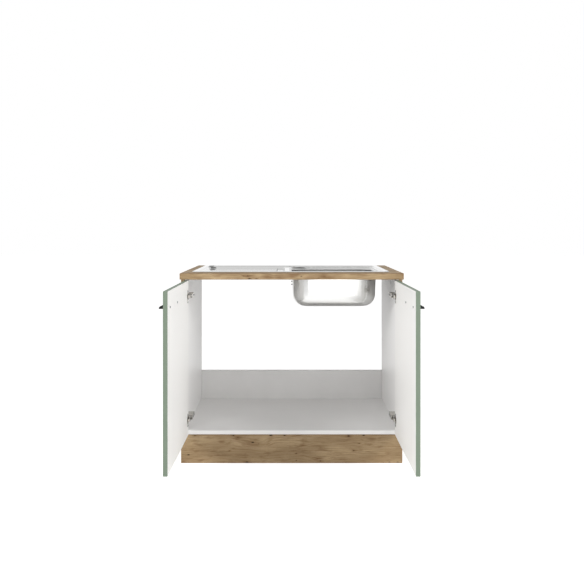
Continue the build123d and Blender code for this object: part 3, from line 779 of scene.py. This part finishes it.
# Seal: a strip of black closed-cell foam that is pressed between the sink's rim and the worktop.
# It is dull, with small bubbles.
foam, tree, shader, place = new_finish("closed_cell_foam")
cells = add(
    tree, "ShaderNodeTexVoronoi", inputs={"Vector": place, "Scale": 1 / (1.2 * millimetre)}
).outputs["Distance"]
tone = add(
    tree,
    "ShaderNodeMix",
    {"data_type": "RGBA"},
    {0: cells, 6: linear("#1E1E1E"), 7: linear("#3A3A39")},
).outputs[2]
tree.links.new(tone, shader.inputs["Base Color"])
shader.inputs["Roughness"].default_value = 0.9
pits = add(
    tree, "ShaderNodeBump", inputs={"Height": cells, "Strength": 0.6, "Distance": 0.3 * millimetre}
).outputs[0]
tree.links.new(pits, shader.inputs["Normal"])
dress(foam, "sink_seal")


# Doors: 18 mm board with a matt sage lacquer foil on the front and all four edges, and plain
# white melamine on the face that is inside when the door is shut.
low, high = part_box("right_door")
inner_face = low.x
foil = 0.25 * millimetre
door_paint, tree, shader, place = new_finish("sage_lacquered_door")
across = add(tree, "ShaderNodeSeparateXYZ", inputs={0: place}).outputs[0]
off_centre = add(tree, "ShaderNodeMath", {"operation": "ABSOLUTE"}, {0: across}).outputs[0]
# Clouds of some 14 cm vary the sage a little.
mottle = add(
    tree, "ShaderNodeTexNoise", inputs={"Vector": place, "Scale": 7.0, "Detail": 2.0}
).outputs[0]
sage = add(
    tree,
    "ShaderNodeMix",
    {"data_type": "RGBA"},
    {0: mottle, 6: linear("#778575"), 7: linear("#7E8C7C")},
).outputs[2]
tone = where(tree, off_centre, "LESS_THAN", inner_face + foil, sage, linear("#F8F7F5"))
tree.links.new(tone, shader.inputs["Base Color"])
# The lacquer has a faint orange peel, whose bumps are 2.5 mm apart.
peel = add(
    tree,
    "ShaderNodeTexNoise",
    inputs={"Vector": place, "Scale": 1 / (2.5 * millimetre), "Detail": 1.0},
).outputs[0]
gloss = add(
    tree, "ShaderNodeMapRange", inputs={0: peel, 1: 0.3, 2: 0.7, 3: 0.46, 4: 0.56}
).outputs[0]
tree.links.new(gloss, shader.inputs["Roughness"])
orange_peel = add(
    tree,
    "ShaderNodeBump",
    inputs={"Height": peel, "Strength": 0.2, "Distance": 0.05 * millimetre},
).outputs[0]
tree.links.new(orange_peel, shader.inputs["Normal"])
shader.inputs["IOR"].default_value = 1.5
shader.inputs["Specular IOR Level"].default_value = 0.25
dress(door_paint, "left_door", "right_door")


# Handles: steel profile, powder coated matt black, with the coat's fine grit. Two machine screws
# from the inside of the door hold each. The grit is 0.1 mm; here 0.8 mm, so that it shows.
powder, tree, shader, place = new_finish("black_powder_coat")
grit = add(
    tree,
    "ShaderNodeTexNoise",
    inputs={"Vector": place, "Scale": 1 / (0.8 * millimetre), "Detail": 2.0},
).outputs[0]
tone = add(
    tree,
    "ShaderNodeMix",
    {"data_type": "RGBA"},
    {0: grit, 6: linear("#101112"), 7: linear("#1C1D1E")},
).outputs[2]
tree.links.new(tone, shader.inputs["Base Color"])
shader.inputs["Roughness"].default_value = 0.62
shader.inputs["Specular IOR Level"].default_value = 0.3
coat = add(
    tree,
    "ShaderNodeBump",
    inputs={"Height": grit, "Strength": 0.4, "Distance": 0.05 * millimetre},
).outputs[0]
tree.links.new(coat, shader.inputs["Normal"])
dress(powder, "left_handle", "right_handle")
for side in ("left", "right"):
    recess_screws(
        side + "_handle_screws", side + "_door", outward=(0, 1), depth=1.3 * millimetre
    )


# Hinges: pressed steel with bright nickel; the cup sits in the door, the link swings from it and
# its bar slides in the arm, which is clamped on the plate on the side panel.
nickel, tree, shader, place = new_finish("nickel_plated_steel")
haze = add(
    tree,
    "ShaderNodeTexNoise",
    inputs={"Vector": place, "Scale": 1 / (4 * millimetre), "Detail": 3.0},
).outputs[0]
tone = add(
    tree,
    "ShaderNodeMix",
    {"data_type": "RGBA"},
    {0: haze, 6: linear("#A8A49D"), 7: linear("#C2BEB8")},
).outputs[2]
tree.links.new(tone, shader.inputs["Base Color"])
shader.inputs["Metallic"].default_value = 1.0
gloss = add(
    tree, "ShaderNodeMapRange", inputs={0: haze, 1: 0.3, 2: 0.7, 3: 0.2, 4: 0.3}
).outputs[0]
tree.links.new(gloss, shader.inputs["Roughness"])
for side in ("left", "right"):
    recess_screws(side + "_cup_screws", side + "_door", outward=(0, 1), depth=0.9 * millimetre)
    for level in ("upper", "lower"):
        hinge = f"{side}_{level}_hinge_"
        dress(nickel, *(hinge + part for part in ("cup", "pin", "link", "arm", "plate")))
recess_screws("hinge_plate_screws", "cabinet", outward=(0, 1), depth=1.0 * millimetre)
recess_screws("hinge_arm_screws", "cabinet", outward=(0, 1), depth=0.9 * millimetre)


# Studio floor: plain white. It glows a little for the camera, in reflections and through glass, so
# that it is white where the light is full and still shows the shadow under the unit.
def seen_ray(tree):
    """1 on a ray by which the camera sees something, straight, in a reflection or through glass,
    and 0 on one that only lights it; and whether the ray is a reflection."""
    ray = add(tree, "ShaderNodeLightPath").outputs
    seen = ray["Is Camera Ray"]
    for other in (ray["Is Glossy Ray"], ray["Is Transmission Ray"]):
        seen = add(
            tree, "ShaderNodeMath", {"operation": "MAXIMUM"}, {0: seen, 1: other}
        ).outputs[0]
    return seen, ray["Is Glossy Ray"]


floor_glow = 0.7
bpy.ops.object.select_all(action="DESELECT")
bpy.ops.mesh.primitive_plane_add(size=40, location=(0, 0, 0))
floor = bpy.context.active_object
floor.name = "studio_floor"
floor_paint, tree, shader, _ = new_finish("white_studio_floor")
shader.inputs["Base Color"].default_value = linear("#E9E9E8")
shader.inputs["Roughness"].default_value = 0.9
seen, _ = seen_ray(tree)
glow = add(tree, "ShaderNodeMath", {"operation": "MULTIPLY"}, {0: seen, 1: floor_glow}).outputs[0]
tree.links.new(glow, shader.inputs["Emission Strength"])
shader.inputs["Emission Color"].default_value = (1, 1, 1, 1)
floor.data.materials.append(floor_paint)


# Surround: white wherever the camera sees it, also in metal. The light it gives the unit is dimmer
# than that, and stronger from the front than from behind, as in a room with the wall near.
world = bpy.data.worlds.new("white_surround")
bpy.context.scene.world = world
world.use_nodes = True
tree = world.node_tree
seen, mirrored = seen_ray(tree)
towards = add(tree, "ShaderNodeTexCoord").outputs["Generated"]
way = add(tree, "ShaderNodeSeparateXYZ", inputs={0: towards}).outputs
# Along each way: where the change starts and ends, and the value at its start and at its end.
# Metal also shows a darker part of the room, high up and mostly on the right.
daylight, above, to_the_right = (
    add(
        tree,
        "ShaderNodeMapRange",
        {"interpolation_type": "SMOOTHSTEP"},
        {0: direction, 1: start, 2: end, 3: at_start, 4: at_end},
    ).outputs[0]
    for direction, start, end, at_start, at_end in (
        (way[1], -0.6, 0.6, 0.55, 0.3),
        (way[2], 0.25, 0.5, 0.0, 0.8),
        (way[0], 0.15, 0.45, 0.2, 1.0),
    )
)
dark = add(
    tree, "ShaderNodeMath", {"operation": "MULTIPLY"}, {0: above, 1: to_the_right}
).outputs[0]
dark = add(tree, "ShaderNodeMath", {"operation": "MULTIPLY"}, {0: dark, 1: mirrored}).outputs[0]
strength = add(tree, "ShaderNodeMix", inputs={0: seen, 2: daylight, 3: 1.0}).outputs[0]
strength = add(
    tree, "ShaderNodeMath", {"operation": "SUBTRACT"}, {0: strength, 1: dark}
).outputs[0]
tree.links.new(strength, tree.nodes["Background"].inputs["Strength"])
tree.nodes["Background"].inputs["Color"].default_value = (1, 1, 1, 1)


# Lamps: a square softbox high on each side, and a low wide oval one in front, aimed at the middle
# of the unit. Metal mirrors only the front one, so that no square spot shows in the bowl.
for name, shape, in_mirrors, place, size, watts, target in (
    ("left_softbox", "RECTANGLE", False, (-2.3, -2.1, 1.9), (1.3, 1.3), 46, (0, -0.4, 0.5)),
    ("right_softbox", "RECTANGLE", False, (2.3, -2.1, 1.9), (1.3, 1.3), 44, (0, -0.4, 0.5)),
    ("front_softbox", "ELLIPSE", True, (0.65, -4.3, 0.55), (2.7, 1.1), 20, (0.2, -0.4, 0.5)),
):
    lamp = bpy.data.lights.new(name, "AREA")
    lamp.shape = shape
    lamp.size, lamp.size_y = size
    lamp.energy = watts
    holder = bpy.data.objects.new(name, lamp)
    bpy.context.scene.collection.objects.link(holder)
    holder.location = place
    holder.visible_glossy = in_mirrors
    aim = [t - p for t, p in zip(target, place)]
    holder.rotation_euler = (
        math.atan2(math.hypot(aim[0], aim[1]), -aim[2]),
        0,
        math.atan2(-aim[0], aim[1]),
    )


# Camera: level, in front of the middle of the unit, a little above the worktop. The photograph
# is a crop whose horizon lies above its middle, which the shift gives.
photo_side = 584
focal_in_pixels = 658
middle_column = 291.7
horizon_row = 226
camera_distance = 3.531
eye_level = 1.071
camera = bpy.data.cameras.new("photo_camera")
camera.sensor_width = 36
camera.lens = camera.sensor_width * focal_in_pixels / photo_side
camera.shift_x = (photo_side / 2 - middle_column) / photo_side
camera.shift_y = (horizon_row - photo_side / 2) / photo_side
camera.clip_end = 200
holder = bpy.data.objects.new("photo_camera", camera)
bpy.context.scene.collection.objects.link(holder)
holder.location = (0.0, -camera_distance, eye_level)
holder.rotation_euler = (math.pi / 2, 0, 0)
bpy.context.scene.camera = holder
bpy.context.scene.view_settings.view_transform = "Standard"
